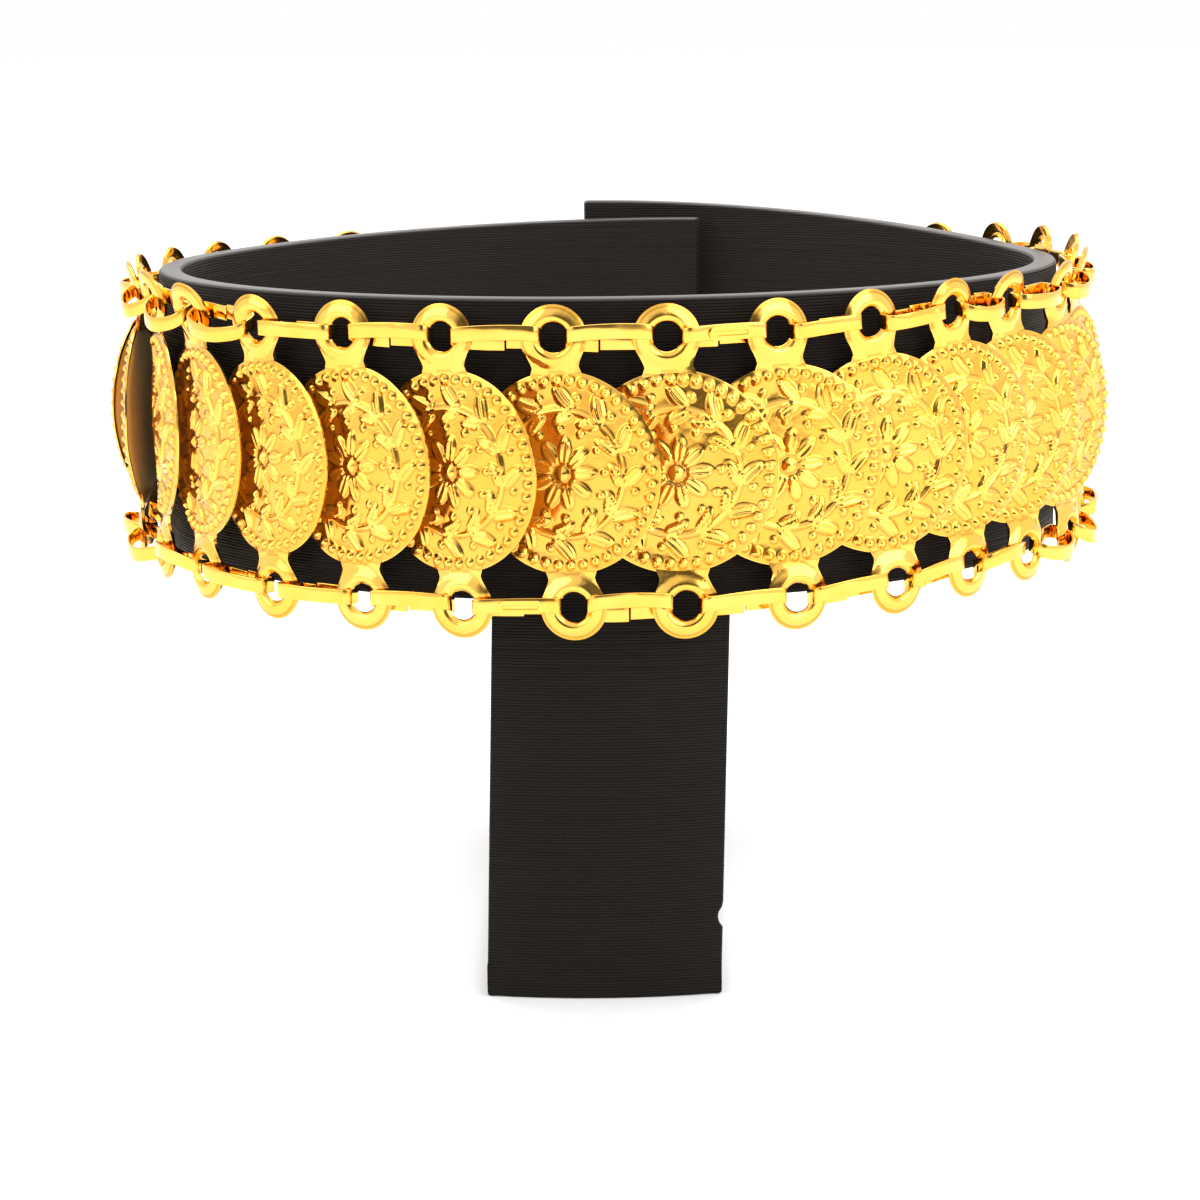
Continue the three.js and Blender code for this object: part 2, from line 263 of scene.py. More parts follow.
GOLD = (1.0, 0.55, 0.085, 1)
# painted shade: the deeper gold painted on the coins' low field and towards the eyes' outlines
PAINTED_SHADE_GOLD = (0.84, 0.37, 0.035, 1)
PALE_GOLD = (1.0, 0.62, 0.13, 1)
BACK_GOLD = (1.0, 0.8, 0.42, 1)
# painted shade: the dark gold of thin lines painted at the feet of the strokes and along the eyes' outlines
PAINTED_FOOT_SHADE_GOLD = (0.5, 0.27, 0.04, 1)
BLACK = (0.009, 0.0062, 0.0048, 1)
WORN_BLACK = (0.018, 0.0145, 0.012, 1)
# painted light: the grey painted on the stand towards its back
PAINTED_LIGHT_GREY = (0.042, 0.034, 0.03, 1)
# dust and painted sheen: the lighter grey painted on the band's upward-facing top edge
DUST_AND_SHEEN_GREY = (0.13, 0.115, 0.105, 1)
FLOOR_WHITE = (0.93, 0.93, 0.93, 1)
FLOOR_PALE = (0.95, 0.95, 0.95, 1)
WHITE = (1, 1, 1, 1)

# Gold: marks to the metre, depths in metres, and ranges of the noise or of the relief
CLOUDS = (0.35, 0.7)
SMUDGES = (0.4, 0.75)
PITS = (0.66, 0.78)
COIN_CLOUD_SCALE = 260
COIN_SMUDGE_SCALE = 700
PEEL_SCALE = 800
PIT_SCALE = 4200
PIT_DEPTH = 0.12            # of the peel's
PEEL_DEPTH = 0.00006
PEEL_STRENGTH = 0.5
LINK_CLOUD_SCALE = 420
LINK_SMUDGE_SCALE = 900
DENT_SCALE = 420
DENT_DEPTH = 0.00022
DENT_STRENGTH = 0.5
FULL_RELIEF = 0.5           # all that stands higher is painted as bright; lower down, the field is painted a deeper gold as shade
# how bright the low field is painted, between the gold of painted shade and the full gold
FIELD_PAINTED_BRIGHTNESS = 0.5
# ranges of the relief where thin dark lines of painted shade lie, at the feet of the strokes
FOOT_BEGINS = (0.015, 0.07)
FOOT_ENDS = (0.16, 0.38)
FOOT_PAINTED_SHADE = 0.7
BACK_DULLING = 0.85         # how much of its metal sheen the back loses
POLISH = 0.1                # roughness, and what adds to it
SMUDGE_ROUGHNESS = 0.08
FIELD_ROUGHNESS = 0.04
BACK_ROUGHNESS = 0.45

# Printed plastic, in metres
WOBBLE_ALONG = 60           # marks to the metre along a layer
WOBBLE_SCALE = 0.9          # marks to the layer
ROUGH_LAYERS_BEGIN = (0.0205, 0.0225)
ROUGH_LAYERS_END = (0.0262, 0.0268)
DEEP_LINES = (0.52, 0.7)
RIDGE_HEIGHT = 1.6
WOBBLE_HEIGHT = 1.8
DEEP_LINE_HEIGHT = 2.0
LAYER_DEPTH = 0.00006
LAYER_STRENGTH = 0.9
WEAR_SCALE = 160
WEAR = (0.5, 0.8)
WEAR_SHADE = 0.4
WOBBLE_SHADE = 0.2
RIDGE_SHADE = 0.35
PAINTED_LIGHT_FROM_Y = 0.0           # painted light: the stand is painted greyer towards the back, as light on the band's inner face there
PAINTED_LIGHT_FULL_Y = 0.025
PAINTED_LIGHT_SHARE = 0.35
TOP_FACING = (0.4, 0.95)
TOP_HEIGHT = (0.03, 0.04)
# how much dust and painted sheen the top edge takes at least, and its coat
LEAST_DUST_AND_SHEEN = 0.4
DUST_AND_SHEEN_COAT = 0.7
PLASTIC_ROUGHNESS = 0.42
WOBBLE_ROUGHNESS = 0.16
WEAR_ROUGHNESS = 0.08

FLOOR_SCALE = 30
FLOOR_CLOUDS = (0.3, 0.7)


def smooth_step(value, low, high):
    share = min(max((value - low) / (high - low), 0.0), 1.0)
    return share * share * (3 - 2 * share)


def mix(low, high, share):
    return low + (high - low) * share


# Materials

class Value:
    """One output socket. Arithmetic on it adds Math nodes."""

    def __init__(self, graph, socket):
        self.graph = graph
        self.socket = socket

    def math(self, operation, first, second=0.0):
        return self.graph.node("ShaderNodeMath", {"operation": operation}, {0: first, 1: second})

    def __add__(self, other):
        return self.math("ADD", self, other)

    def __radd__(self, other):
        return self.math("ADD", other, self)

    def __sub__(self, other):
        return self.math("SUBTRACT", self, other)

    def __rsub__(self, other):
        return self.math("SUBTRACT", other, self)

    def __mul__(self, other):
        return self.math("MULTIPLY", self, other)

    def __rmul__(self, other):
        return self.math("MULTIPLY", other, self)

    def __truediv__(self, other):
        return self.math("DIVIDE", self, other)

    def __pow__(self, other):
        return self.math("POWER", self, other)

    def fraction(self):
        return self.math("FRACT", self)

    def size(self):
        return self.math("ABSOLUTE", self)


class Graph:
    """A node tree. node() adds any node with its settings and inputs, and gives one output."""

    def __init__(self, tree):
        self.tree = tree

    def node(self, kind, settings=None, inputs=None, output=0):
        made = self.tree.nodes.new(kind)
        for name, value in (settings or {}).items():
            setattr(made, name, value)
        for key, value in (inputs or {}).items():
            self.feed(made.inputs[key], value)
        return Value(self, made.outputs[output])

    def feed(self, socket, value):
        if isinstance(value, Value):
            self.tree.links.new(value.socket, socket)
        else:
            socket.default_value = value

    def range(self, value, low, high, to_low=0.0, to_high=1.0):
        inputs = {"Value": value, "From Min": low, "From Max": high, "To Min": to_low, "To Max": to_high}
        return self.node("ShaderNodeMapRange", {"clamp": True}, inputs)

    def colour(self, share, low, high):
        return self.node(
            "ShaderNodeMix", {"data_type": "RGBA"}, {"Factor": share, 6: low, 7: high}, output=2)


class Finish(Graph):
    """A material, whose surface is its Principled shader."""

    def __init__(self, name, **sockets):
        self.material = bpy.data.materials.new(name)
        self.material.use_nodes = True
        super().__init__(self.material.node_tree)
        self.surface = self.tree.nodes["Principled BSDF"]
        for socket, value in sockets.items():
            self.set(socket.replace("_", " "), value)

    def set(self, socket, value):
        self.feed(self.surface.inputs[socket], value)

    def place(self):
        return self.node("ShaderNodeTexCoord", output="Object")

    def part(self, vector, axis):
        return self.node("ShaderNodeSeparateXYZ", {}, {0: vector}, output=axis)

    def noise(self, scale, detail=2.0, roughness=0.5, place=None):
        """Even noise in features per metre."""
        inputs = {"Vector": place or self.place(), "Scale": scale, "Detail": detail, "Roughness": roughness}
        return self.node("ShaderNodeTexNoise", {}, inputs)

    def bump(self, height, distance, strength=1.0):
        inputs = {"Height": height, "Distance": distance, "Strength": strength}
        self.set("Normal", self.node("ShaderNodeBump", {}, inputs))


def plating(gold, scale):
    """Gold that pales in soft clouds."""
    return gold.colour(gold.range(gold.noise(scale, detail=3), *CLOUDS), GOLD, PALE_GOLD)


def smudges(gold, scale):
    return gold.range(gold.noise(scale, detail=4, roughness=0.6), *SMUDGES)


def coin_gold():
    """Strokes painted bright over a field painted a deeper gold as shade, thin dark lines of painted shade
    at their feet, and a pale, dull back.
    """
    gold = Finish("coin_gold")
    relief = gold.node("ShaderNodeAttribute", {"attribute_name": "relief"}, output="Fac")
    depth = gold.range(relief, 0.0, FULL_RELIEF)
    back = gold.range(relief, 0.0, BACK_MARK)
    # painted shade: a thin dark line at the foot of each stroke, bead and eye outline
    painted_foot_shade = gold.range(relief, *FOOT_BEGINS) * gold.range(relief, *FOOT_ENDS, 1.0, 0.0)
    # painted light and shade: higher relief is painted brighter, the low field a deeper gold as shade
    painted_light_share = depth * (1 - FIELD_PAINTED_BRIGHTNESS) + FIELD_PAINTED_BRIGHTNESS
    face = gold.colour(painted_light_share, PAINTED_SHADE_GOLD, plating(gold, COIN_CLOUD_SCALE))
    face = gold.colour(painted_foot_shade * FOOT_PAINTED_SHADE, face, PAINTED_FOOT_SHADE_GOLD)
    gold.set("Base Color", gold.colour(back, face, BACK_GOLD))
    gold.set("Metallic", 1 - BACK_DULLING * back)
    smudged = POLISH + SMUDGE_ROUGHNESS * smudges(gold, COIN_SMUDGE_SCALE)
    gold.set("Roughness", smudged + FIELD_ROUGHNESS * (1 - depth) + BACK_ROUGHNESS * back)
    peel = gold.noise(PEEL_SCALE, detail=2)
    pits = gold.range(gold.noise(PIT_SCALE, detail=1), *PITS)
    gold.bump(peel - PIT_DEPTH * pits, PEEL_DEPTH, PEEL_STRENGTH)
    return gold.material


def link_gold():
    gold = Finish("link_gold", Metallic=1.0)
    gold.set("Base Color", plating(gold, LINK_CLOUD_SCALE))
    gold.set("Roughness", POLISH + SMUDGE_ROUGHNESS * smudges(gold, LINK_SMUDGE_SCALE))
    gold.bump(gold.noise(DENT_SCALE, detail=1), DENT_DEPTH, DENT_STRENGTH)
    return gold.material


def printed_plastic():
    """Black plastic in fine level layers, with its upward top edge painted lighter: dust and a painted
    sheen.
    """
    plastic = Finish("printed_plastic", Specular_IOR_Level=0.09, Coat_Roughness=0.3)
    place = plastic.place()
    height = plastic.part(place, "Z")
    layer = height / (LAYER * MM)
    ridge = 1 - ((layer.fraction() - 0.5).size() * 2) ** 3
    scale = (WOBBLE_ALONG, WOBBLE_ALONG, 1 / (LAYER * MM))
    stretched = plastic.node("ShaderNodeMapping", {}, {"Vector": place, "Scale": scale})
    wobble = plastic.noise(WOBBLE_SCALE, detail=2, roughness=0.6, place=stretched)
    rough_layers = plastic.range(height, *ROUGH_LAYERS_BEGIN)
    rough_layers *= plastic.range(height, *ROUGH_LAYERS_END, 1.0, 0.0)
    deep_lines = plastic.range(wobble, *DEEP_LINES) * rough_layers
    surface = ridge * RIDGE_HEIGHT + wobble * WOBBLE_HEIGHT - deep_lines * DEEP_LINE_HEIGHT
    plastic.bump(surface, LAYER_DEPTH, LAYER_STRENGTH)
    worn = plastic.range(plastic.noise(WEAR_SCALE, detail=5, roughness=0.65), *WEAR)
    wear_share = worn * WEAR_SHADE + wobble * WOBBLE_SHADE + ridge * RIDGE_SHADE
    plain = plastic.colour(wear_share, BLACK, WORN_BLACK)
    # painted light: greyer towards the back, where the band's inner face is lit
    painted_back_light = plastic.range(plastic.part(place, "Y"), PAINTED_LIGHT_FROM_Y, PAINTED_LIGHT_FULL_Y, 0.0, PAINTED_LIGHT_SHARE)
    plain = plastic.colour(painted_back_light, plain, PAINTED_LIGHT_GREY)
    # dust and painted sheen: the upward-facing top edge of the band is painted lighter
    upward = plastic.part(plastic.node("ShaderNodeTexCoord", output="Normal"), "Z")
    rim = plastic.range(upward, *TOP_FACING) * plastic.range(height, *TOP_HEIGHT)
    dust_and_sheen = rim * (LEAST_DUST_AND_SHEEN + (1 - LEAST_DUST_AND_SHEEN) * wobble)
    plastic.set("Coat Weight", dust_and_sheen * DUST_AND_SHEEN_COAT)
    plastic.set("Base Color", plastic.colour(dust_and_sheen, plain, DUST_AND_SHEEN_GREY))
    plastic.set("Roughness", PLASTIC_ROUGHNESS + WOBBLE_ROUGHNESS * wobble + WEAR_ROUGHNESS * worn)
    return plastic.material


def floor_white():
    paper = Finish("floor_paper", Roughness=0.85)
    shade = paper.range(paper.noise(FLOOR_SCALE, detail=2), *FLOOR_CLOUDS)
    paper.set("Base Color", paper.colour(shade, FLOOR_WHITE, FLOOR_PALE))
    return paper.material


# Places along the belt

def rise_at(angle):
    degrees = angle / DEGREE
    upper = next(index for index in range(1, len(RISES)) if RISES[index].angle >= degrees)
    before, after = RISES[upper - 1], RISES[upper]
    return mix(before.up, after.up, smooth_step(degrees, before.angle, after.angle))


CoinFrame = namedtuple("CoinFrame", "centre across right up out strain")


def coin_frame(coin):
    """Where a coin's centre lies, its right, up and outward directions, and as strain the share
    by which its upper eye leans out."""
    hang = HANGS.get(coin, USUAL_HANG)
    step = 2 * math.pi * BELT_RADIUS / COIN_COUNT
    along = FRONT_COIN_OFFSET + (coin - FRONT_COIN) * step + hang.along
    angle = (along / BELT_RADIUS + math.pi) % (2 * math.pi) - math.pi
    slack = BACK_SLACK * smooth_step(abs(angle), BACK_SLACK_FROM, BACK_SLACK_FULL)
    radius = BELT_RADIUS + hang.out + slack
    level = BELT_LEVEL + rise_at(angle)
    centre = Vector((radius * math.sin(angle), BELT_CENTRE_Y - radius * math.cos(angle), level))
    turned = angle - hang.swing * DEGREE
    lean = hang.lean * DEGREE
    across = Vector((math.cos(turned), math.sin(turned), 0))
    out = Vector((math.sin(turned), -math.cos(turned), 0))
    up = Vector((0, 0, math.cos(lean))) - across * math.sin(lean)
    right = across * math.cos(lean) + Vector((0, 0, math.sin(lean)))
    aside = abs(angle)
    strain = smooth_step(aside, TILT_BEGINS, TILT_FULL) - smooth_step(aside, TILT_FADES, TILT_GONE)
    return CoinFrame(centre, across, right, up, out, strain)


def placed(centre, x_axis, y_axis, z_axis):
    turn = Matrix((x_axis, y_axis, z_axis)).transposed().to_4x4()
    return Matrix.Translation(centre) @ turn


# Ornament on a coin's face: a wreath of leaves round a rosette, inside the row of beads

WREATH_RADIUS = 4.1
WREATH_STEM = 0.3
LEAF_PAIRS = 12
LEAF_LENGTH = 2.0
LEAF_HALF = 0.52
OUTER_SIDE_GROWTH = 0.12
ROOT_SPREAD = 0.2
LEAF_ANGLE = 35 * DEGREE    # between a leaf and the wreath's stem
LEAF_TURN = 0.06            # how far that angle strays, in radians
LEAF_STRAY = (0.94, 1.06)   # and the length, as a share
LEAF_BEND = 0.16
LEAF_FULLEST = 0.85         # below 1 the widest place is nearer the root
LEAF_BLUNTNESS = 0.6
LEAF_LEVEL = 0.3            # the level part of its half width
LEAF_END_RISE = 1.8
ORNAMENT_SEED = 5
RIB = 0.5                   # how deep a leaf's middle line is, of its height
RIB_HALF = 0.23
PETALS = 9
PETAL_FROM = 0.6
PETAL_TO = 2.5
PETAL_HALF = 0.58
PETAL_RISE = 0.8
BERRY_RING = 2.9
OUTER_BERRY_RING = 4.98
BERRY_RADIUS = 0.36
BERRY_RISE = 0.8
STEM_RISE = 0.7
ROUND_LEVEL = 0.12          # the level part of a bead's or a berry's radius
BOSS_RADIUS = 0.65


def rounded(share, level=0.0):
    """A smooth hump: 1 over its level middle, and down to the field at a share of 1."""
    down = max(abs(share) - level, 0) / (1 - level)
    return 0.5 + 0.5 * math.cos(math.pi * min(down, 1.0))


def on_circle(radius, angle):
    return Vector((radius * math.cos(angle), radius * math.sin(angle)))


class Leaf:
    """A bent leaf that narrows to both ends, with a line sunk along its middle."""

    def __init__(self, root, direction, length, half, bend=0.0, rise=1.0):
        self.root = root
        self.direction = direction
        self.length = length
        self.half = half
        self.bend = bend
        self.rise = rise
        self.middle = root + direction * length / 2
        self.reach = (length / 2 + half) ** 2

    def height(self, x, y):
        if (x - self.middle.x) ** 2 + (y - self.middle.y) ** 2 > self.reach:
            return 0.0
        run_x, run_y = x - self.root.x, y - self.root.y
        share = (run_x * self.direction.x + run_y * self.direction.y) / self.length
        if not 0 < share < 1:
            return 0.0
        swell = math.sin(math.pi * share ** LEAF_FULLEST)
        off = run_y * self.direction.x - run_x * self.direction.y - self.bend * swell
        body = rounded(off / (self.half * swell ** LEAF_BLUNTNESS), LEAF_LEVEL)
        body *= min(1.0, LEAF_END_RISE * swell)
        return self.rise * body * (1 - RIB * rounded(off / RIB_HALF))


def ornament():
    """All the leaves and petals, no two leaves quite alike."""
    chance = random.Random(ORNAMENT_SEED)
    leaves = []
    for number in range(LEAF_PAIRS):
        angle = (number + 0.5) * 2 * math.pi / LEAF_PAIRS
        for side in (1, -1):
            root = on_circle(WREATH_RADIUS + side * ROOT_SPREAD, angle)
            turn = LEAF_ANGLE + chance.uniform(-LEAF_TURN, LEAF_TURN)
            aim = angle + math.pi / 2 - side * turn
            growth = 1 + side * OUTER_SIDE_GROWTH
            length = LEAF_LENGTH * growth * chance.uniform(*LEAF_STRAY)
            half = LEAF_HALF * growth
            leaves.append(Leaf(root, on_circle(1, aim), length, half, side * LEAF_BEND))
    for number in range(PETALS):
        angle = number * 2 * math.pi / PETALS
        root, direction = on_circle(PETAL_FROM, angle), on_circle(1, angle)
        leaves.append(Leaf(root, direction, PETAL_TO - PETAL_FROM, PETAL_HALF, rise=PETAL_RISE))
    return leaves


def bead_height(x, y, count, ring, radius, shift=0.0):
    """Round beads at equal steps along a circle."""
    step = 2 * math.pi / count
    nearest = on_circle(ring, (round(math.atan2(y, x) / step - shift) + shift) * step)
    return rounded(math.hypot(x - nearest.x, y - nearest.y) / radius, ROUND_LEVEL)


def relief_height(leaves, x, y):
    """How high the stamped face stands over its field at a place on the coin."""
    radius = math.hypot(x, y)
    if radius > BEAD_ROW_RADIUS - BEAD_RADIUS:
        return BEAD_HEIGHT * bead_height(x, y, BEAD_COUNT, BEAD_ROW_RADIUS, BEAD_RADIUS)
    best = max(leaf.height(x, y) for leaf in leaves)
    best = max(best, STEM_RISE * rounded((radius - WREATH_RADIUS) / WREATH_STEM))
    best = max(best, BERRY_RISE * bead_height(x, y, LEAF_PAIRS, BERRY_RING, BERRY_RADIUS))
    outer = bead_height(x, y, LEAF_PAIRS, OUTER_BERRY_RING, BERRY_RADIUS, shift=0.5)
    best = max(best, BERRY_RISE * outer)
    best = max(best, rounded(radius / BOSS_RADIUS))
    return RELIEF * best


# Coin

def dome(radius):
    return COIN_DOME * (1 - (radius / COIN_RADIUS) ** 2)


def disc_point(u, v):
    """Maps the square from -1 to 1 onto the coin's disc, square rings to round rings."""
    if u == 0 and v == 0:
        return Vector((0, 0, 0))
    if abs(u) > abs(v):
        radius, angle = u, math.pi / 4 * v / u
    else:
        radius, angle = v, math.pi / 2 - math.pi / 4 * u / v
    return Vector((radius * math.cos(angle), radius * math.sin(angle), 0)) * COIN_RADIUS


def boundary_of(verts):
    return list({edge for vert in verts for edge in vert.link_edges if edge.is_boundary})


def disc_grid(coin, cells):
    """Adds a grid that is bent to the coin's round outline, and gives its corners."""
    grid = bmesh.ops.create_grid(coin, x_segments=cells, y_segments=cells, size=1)["verts"]
    for vert in grid:
        vert.co = disc_point(vert.co.x, vert.co.y)
    return grid


def add_disc(coin, relief_layer, leaves):
    """The stamped sheet: a fine face with its relief, and a plain back joined to it at the rim."""
    face = disc_grid(coin, FACE_CELLS)
    for vert in face:
        radius = vert.co.length
        height = relief_height(leaves, vert.co.x, vert.co.y)
        roll = EDGE_ROLL * smooth_step(radius, EDGE_ROLL_FROM, COIN_RADIUS)
        vert.co.z = dome(radius) + FIELD_LEVEL + height - roll
        vert[relief_layer] = height / RELIEF
    back = disc_grid(coin, BACK_CELLS)
    for vert in back:
        vert.co.z = dome(vert.co.length) + BACK_LEVEL
        vert[relief_layer] = BACK_MARK
    bmesh.ops.bridge_loops(coin, edges=boundary_of(face) + boundary_of(back))


def neck_half_width(y):
    """The sides run in from the eye to the waist and then turn out to the disc."""
    if -y < NECK_WAIST:
        return mix(EYE_RADIUS, NECK_HALF_WIDTH, -y / NECK_WAIST)
    return NECK_HALF_WIDTH + NECK_FLARE * (-y - NECK_WAIST) ** 2


def eye_reach(direction):
    """From the eye's centre to its outline: round, but for the neck that runs down to the disc."""
    reach = EYE_RADIUS
    while True:
        tried = direction * (reach + OUTLINE_STEP)
        if not (-NECK_END <= tried.y <= 0 and abs(tried.x) <= neck_half_width(tried.y)):
            return reach
        reach += OUTLINE_STEP


def eye_height(point):
    """The eye rises to a crown close to its hole and slopes down on both sides of it."""
    radius = point.length
    if radius < EYE_CROWN_RADIUS:
        inward = (EYE_CROWN_RADIUS - radius) / (EYE_CROWN_RADIUS - EYE_HOLE_RADIUS)
        return EYE_CROWN * (1 - EYE_LIP * inward ** 2)
    outward = (radius - EYE_CROWN_RADIUS) / (EYE_RADIUS - EYE_CROWN_RADIUS)
    return EYE_CROWN * max(0.0, 1 - outward ** EYE_SLOPE)


def eye_painted_shade_relief(point):
    """The relief's value on an eye, which paints its shade: it falls off towards the eye's outline, painted
    deeper gold with a dark line there as shade, but not on the neck.
    """
    off = math.hypot(point.x, abs(point.y) - EYE_DISTANCE)
    neck = smooth_step(EYE_DISTANCE - abs(point.y), NECK_NO_PAINTED_SHADE_FROM, NECK_NO_PAINTED_SHADE_FULL)
    return EYE_PAINTED_BRIGHTNESS * max(1 - smooth_step(off, EYE_PAINTED_SHADE_FROM, EYE_RADIUS), neck)


def add_eye(coin, relief_layer, side):
    """One eye with its neck: a ring about the hole whose outline stretches down to the disc."""
    eye = bmesh.new()
    line = [eye.verts.new((1 + ring / EYE_RINGS, 0, 0)) for ring in range(EYE_RINGS + 1)]
    edges = [eye.edges.new(pair) for pair in zip(line, line[1:])]
    bmesh.ops.spin(
        eye, geom=line + edges, cent=(0, 0, 0), axis=(0, 0, 1), angle=2 * math.pi,
        steps=EYE_STEPS, use_merge=True)
    for vert in eye.verts:
        share = vert.co.length - 1
        direction = vert.co.normalized()
        stretch = (eye_reach(direction) - EYE_RADIUS) * share ** 3
        vert.co = direction * (mix(EYE_HOLE_RADIUS, EYE_RADIUS, share) + stretch)
        vert.co.z = eye_height(vert.co)
    bmesh.ops.remove_doubles(eye, verts=eye.verts, dist=EYE_WELD)
    bmesh.ops.recalc_face_normals(eye, faces=eye.faces)
    bmesh.ops.solidify(eye, geom=eye.faces[:], thickness=EYE_SHEET)
    top = max(vert.co.z for vert in eye.verts)
    bmesh.ops.translate(eye, verts=eye.verts, vec=(0, EYE_DISTANCE, EYE_CROWN - top + EYE_RAISE))
    bmesh.ops.rotate(eye, verts=eye.verts, cent=(0, 0, 0), matrix=Matrix.Rotation(side, 3, "Z"))
    append(coin, eye)
    # painted shade along each eye's outline, set through the relief value
    for vert in coin.verts:
        if vert.co.xy.length > COIN_RADIUS - NEAR:
            vert[relief_layer] = eye_painted_shade_relief(vert.co)


def append(target, source):
    """Moves a bmesh's geometry into another."""
    scratch = bpy.data.meshes.new("scratch")
    source.to_mesh(scratch)
    source.free()
    target.from_mesh(scratch)
    bpy.data.meshes.remove(scratch)


def stamped_coin():
    coin = bmesh.new()
    relief_layer = coin.verts.layers.float.new("relief")
    add_disc(coin, relief_layer, ornament())
    for side in (0, math.pi):
        add_eye(coin, relief_layer, side)
    bmesh.ops.recalc_face_normals(coin, faces=coin.faces)
    return coin


def warped(coin, number, strain):
    """Bends a thin coin. Its right edge stands out over the next coin, its left side is bent in
    under the coin before, its eyes are twisted, and the sheet is a little uneven, on each coin
    in another way. Where the belt turns away, the upper eye leans out."""
    shift = Vector((number * WARP_SHIFT_X, number * WARP_SHIFT_Y, 0))
    curl = CURLS.get(number, USUAL_CURL)
    for vert in coin.verts:
        past = max(vert.co.x - CURL_FROM, 0) / (COIN_RADIUS - CURL_FROM)
        left = 1 - smooth_step(vert.co.x, LEFT_SINK_FULL, LEFT_SINK_FROM)
        level = 1 - smooth_step(abs(vert.co.y), LEFT_SINK_HEIGHT, COIN_RADIUS)
        beyond = max(abs(vert.co.y) - COIN_RADIUS, 0) / (EYE_DISTANCE - COIN_RADIUS)
        vert.co.z += curl * past ** 2
        vert.co.z -= LEFT_SINK * left * level
        vert.co.z -= EYE_TWIST * vert.co.x * min(beyond, 1.0)
        if vert.co.y > 0:
            vert.co.z += EYE_TILT * strain * (beyond - 1) * min(beyond, 1.0)
        place = Vector((vert.co.x, vert.co.y, 0)) / WARP_SPAN + shift
        fine = noise.noise(place * FINE_WARP_STEPS)
        vert.co.z += WARP * noise.noise(place) + WARP * FINE_WARP * fine


# Link

def rounded_loop(length):
    """The strip's outer face as an upright wall, before the strip gets its thickness."""
    loop = bmesh.new()
    bmesh.ops.create_grid(loop, x_segments=1, y_segments=1, size=0.5)
    bmesh.ops.scale(loop, verts=loop.verts, vec=(length, LINK_DEPTH, 1))
    bmesh.ops.bevel(
        loop, geom=loop.verts[:], offset=LINK_CORNER, affect="VERTICES", segments=5, profile=0.5,
        material=-1)
    caps = loop.faces[:]
    raised = bmesh.ops.extrude_face_region(loop, geom=caps)["geom"]
    bmesh.ops.translate(
        loop, verts=[item for item in raised if isinstance(item, bmesh.types.BMVert)],
        vec=(0, 0, STRIP_HEIGHT))
    level = [face for face in loop.faces if abs(face.calc_center_median().z - STRIP_HEIGHT / 2) > NEAR]
    bmesh.ops.delete(loop, geom=level, context="FACES_ONLY")
    bmesh.ops.translate(loop, verts=loop.verts, vec=(0, 0, -STRIP_HEIGHT / 2))
    return loop


def edge_run(edge):
    return edge.verts[1].co - edge.verts[0].co


def edges_along(made, axis, least):
    """The edges that run further than a length along one axis."""
    return [edge for edge in made.edges if abs(edge_run(edge)[axis]) > least]


def cut_joint(loop, x, gap):
    """Opens the loop between its two ends, on the inner leg."""
    for edge_x in (x - gap / 2, x + gap / 2):
        bmesh.ops.bisect_plane(
            loop, geom=loop.verts[:] + loop.edges[:] + loop.faces[:], plane_co=(edge_x, 0, 0),
            plane_no=(1, 0, 0))
    middles = [(face, face.calc_center_median()) for face in loop.faces]
    gone = [face for face, middle in middles if abs(middle.x - x) < gap / 2 and middle.y > 0]
    bmesh.ops.delete(loop, geom=gone, context="FACES")


def bent_strip(length, chance, drop, mouth_x=0.0, mouth=JOINT_GAP, strain=0.0):
    """The loop with its joint open, its outer leg bowed, its inner leg dropped and a slight twist."""
    loop = rounded_loop(length)
    cut_joint(loop, mouth_x, mouth)
    long = [edge for edge in loop.edges if edge.calc_length() > LINK_LEG_LEAST]
    legs = [edge for edge in long if abs(edge_run(edge).z) < NEAR]
    bmesh.ops.subdivide_edges(loop, edges=legs, cuts=LINK_CUTS, use_grid_fill=True)
    bow = LINK_BOW * chance.uniform(LEAST_BOW, 1.0) + SIDE_BOW * strain
    step = JOINT_STEP * chance.choice((-1, 1))
    for vert in loop.verts:
        middle = 1 - (2 * vert.co.x / length) ** 2
        if vert.co.y < 0:
            vert.co.y -= bow * middle
        else:
            vert.co.z += math.copysign(step, vert.co.x - mouth_x) * middle
        vert.co.z -= drop * vert.co.y / LINK_DEPTH * mix(1, 1 + LINK_ARCH, middle)
    bmesh.ops.recalc_face_normals(loop, faces=loop.faces)
    bmesh.ops.solidify(loop, geom=loop.faces[:], thickness=STRIP)
    sharp = [edge for edge in loop.edges if edge.is_manifold and edge.calc_face_angle(0) > FOLD_ANGLE]
    bmesh.ops.bevel(
        loop, geom=sharp, offset=STRIP_EDGE, affect="EDGES", segments=2, profile=0.5, material=-1)
    twist = LINK_TWIST * chance.uniform(-1, 1)
    for vert in loop.verts:
        turn = Matrix.Rotation(twist * 2 * vert.co.x / length, 3, "X")
        vert.co = turn @ vert.co
    return loop


